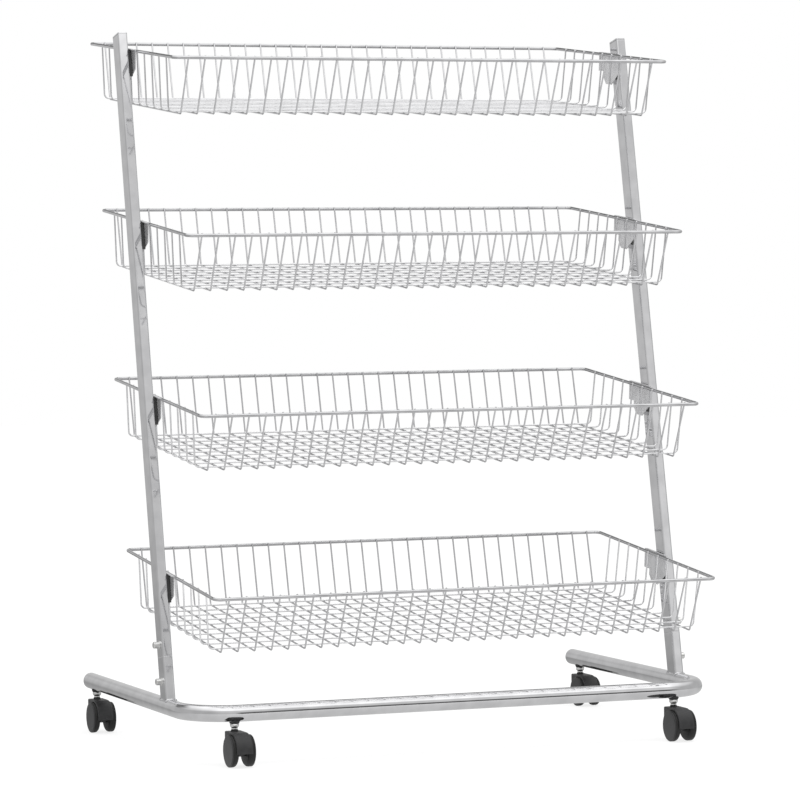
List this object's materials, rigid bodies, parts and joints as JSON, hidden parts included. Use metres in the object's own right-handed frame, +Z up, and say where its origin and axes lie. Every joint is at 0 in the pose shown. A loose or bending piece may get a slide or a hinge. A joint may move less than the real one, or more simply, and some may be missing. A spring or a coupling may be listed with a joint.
{
  "type": "basket stand",
  "caption": "Shop display stand on swivel casters, with lift-off wire baskets hung in tiers between two leaning posts.",
  "frame": {"origin": "on the floor, under the middle of the stand's outer box", "axes": "+X to the stand's right as seen from its front, +Y to its back, +Z up"},
  "size_m": [0.8726, 0.6038, 1.0904],
  "materials": {
    "chrome_tube": "bright chrome plate",
    "chrome_wire": "bright chrome plate",
    "hanger_steel": "chromed sheet",
    "bolt_steel": "bright zinc",
    "black_steel": "black coat",
    "caster_plastic": "moulded",
    "wheel_plastic": "moulded"
  },
  "bodies": {
    "frame": {"base_tube": "chrome_tube", "base_cap_left": "chrome_tube", "base_cap_right": "chrome_tube", "caster_collars": "caster_plastic", "caster_stems": "bolt_steel", "post_stub_left": "chrome_tube", "post_connector_left": "chrome_tube", "post_left": "chrome_tube", "post_cap_left": "chrome_tube", "post_bolts_left": "bolt_steel", "post_nuts_left": "bolt_steel", "receivers_left": "black_steel", "post_stub_right": "chrome_tube", "post_connector_right": "chrome_tube", "post_right": "chrome_tube", "post_cap_right": "chrome_tube", "post_bolts_right": "bolt_steel", "post_nuts_right": "bolt_steel", "receivers_right": "black_steel"},
    "basket_1": {"basket_1_rim": "chrome_wire", "basket_1_cross_wires": "chrome_wire", "basket_1_long_wires": "chrome_wire", "basket_1_hanger_left": "hanger_steel", "basket_1_hanger_right": "hanger_steel"},
    "basket_2": {"basket_2_rim": "chrome_wire", "basket_2_cross_wires": "chrome_wire", "basket_2_long_wires": "chrome_wire", "basket_2_hanger_left": "hanger_steel", "basket_2_hanger_right": "hanger_steel"},
    "basket_3": {"basket_3_rim": "chrome_wire", "basket_3_cross_wires": "chrome_wire", "basket_3_long_wires": "chrome_wire", "basket_3_hanger_left": "hanger_steel", "basket_3_hanger_right": "hanger_steel"},
    "basket_4": {"basket_4_rim": "chrome_wire", "basket_4_cross_wires": "chrome_wire", "basket_4_long_wires": "chrome_wire", "basket_4_hanger_left": "hanger_steel", "basket_4_hanger_right": "hanger_steel"},
    "front_left_caster": {"front_left_hood": "caster_plastic", "front_left_axle": "bolt_steel"},
    "front_left_roller_left": {"front_left_wheel_left": "wheel_plastic"},
    "front_left_roller_right": {"front_left_wheel_right": "wheel_plastic"},
    "front_right_caster": {"front_right_hood": "caster_plastic", "front_right_axle": "bolt_steel"},
    "front_right_roller_left": {"front_right_wheel_left": "wheel_plastic"},
    "front_right_roller_right": {"front_right_wheel_right": "wheel_plastic"},
    "rear_left_caster": {"rear_left_hood": "caster_plastic", "rear_left_axle": "bolt_steel"},
    "rear_left_roller_left": {"rear_left_wheel_left": "wheel_plastic"},
    "rear_left_roller_right": {"rear_left_wheel_right": "wheel_plastic"},
    "rear_right_caster": {"rear_right_hood": "caster_plastic", "rear_right_axle": "bolt_steel"},
    "rear_right_roller_left": {"rear_right_wheel_left": "wheel_plastic"},
    "rear_right_roller_right": {"rear_right_wheel_right": "wheel_plastic"}
  },
  "joints": [
    {"name": "basket_1_lift", "type": "slide", "parent": "frame", "child": "basket_1", "axis": [0, 0.1994, 0.9799], "range_m": [0, 0.03]},
    {"name": "basket_2_lift", "type": "slide", "parent": "frame", "child": "basket_2", "axis": [0, 0.1994, 0.9799], "range_m": [0, 0.03]},
    {"name": "basket_3_lift", "type": "slide", "parent": "frame", "child": "basket_3", "axis": [0, 0.1994, 0.9799], "range_m": [0, 0.03]},
    {"name": "basket_4_lift", "type": "slide", "parent": "frame", "child": "basket_4", "axis": [0, 0.1994, 0.9799], "range_m": [0, 0.03]},
    {"name": "front_left_swivel", "type": "hinge", "parent": "frame", "child": "front_left_caster", "pos_m": [-0.35415, -0.2431, 0.0537], "axis": [0, 0, 1], "continuous": true},
    {"name": "front_left_roll_left", "type": "hinge", "parent": "front_left_caster", "child": "front_left_roller_left", "pos_m": [-0.35415, -0.2651, 0.0235], "axis": [1, 0, 0], "continuous": true},
    {"name": "front_left_roll_right", "type": "hinge", "parent": "front_left_caster", "child": "front_left_roller_right", "pos_m": [-0.35415, -0.2651, 0.0235], "axis": [1, 0, 0], "continuous": true},
    {"name": "front_right_swivel", "type": "hinge", "parent": "frame", "child": "front_right_caster", "pos_m": [0.35415, -0.2431, 0.0537], "axis": [0, 0, 1], "continuous": true},
    {"name": "front_right_roll_left", "type": "hinge", "parent": "front_right_caster", "child": "front_right_roller_left", "pos_m": [0.35415, -0.2651, 0.0235], "axis": [1, 0, 0], "continuous": true},
    {"name": "front_right_roll_right", "type": "hinge", "parent": "front_right_caster", "child": "front_right_roller_right", "pos_m": [0.35415, -0.2651, 0.0235], "axis": [1, 0, 0], "continuous": true},
    {"name": "rear_left_swivel", "type": "hinge", "parent": "frame", "child": "rear_left_caster", "pos_m": [-0.41615, 0.25576, 0.0537], "axis": [0, 0, 1], "continuous": true},
    {"name": "rear_left_roll_left", "type": "hinge", "parent": "rear_left_caster", "child": "rear_left_roller_left", "pos_m": [-0.41615, 0.23376, 0.0235], "axis": [1, 0, 0], "continuous": true},
    {"name": "rear_left_roll_right", "type": "hinge", "parent": "rear_left_caster", "child": "rear_left_roller_right", "pos_m": [-0.41615, 0.23376, 0.0235], "axis": [1, 0, 0], "continuous": true},
    {"name": "rear_right_swivel", "type": "hinge", "parent": "frame", "child": "rear_right_caster", "pos_m": [0.41615, 0.25576, 0.0537], "axis": [0, 0, 1], "continuous": true},
    {"name": "rear_right_roll_left", "type": "hinge", "parent": "rear_right_caster", "child": "rear_right_roller_left", "pos_m": [0.41615, 0.23376, 0.0235], "axis": [1, 0, 0], "continuous": true},
    {"name": "rear_right_roll_right", "type": "hinge", "parent": "rear_right_caster", "child": "rear_right_roller_right", "pos_m": [0.41615, 0.23376, 0.0235], "axis": [1, 0, 0], "continuous": true}
  ]
}
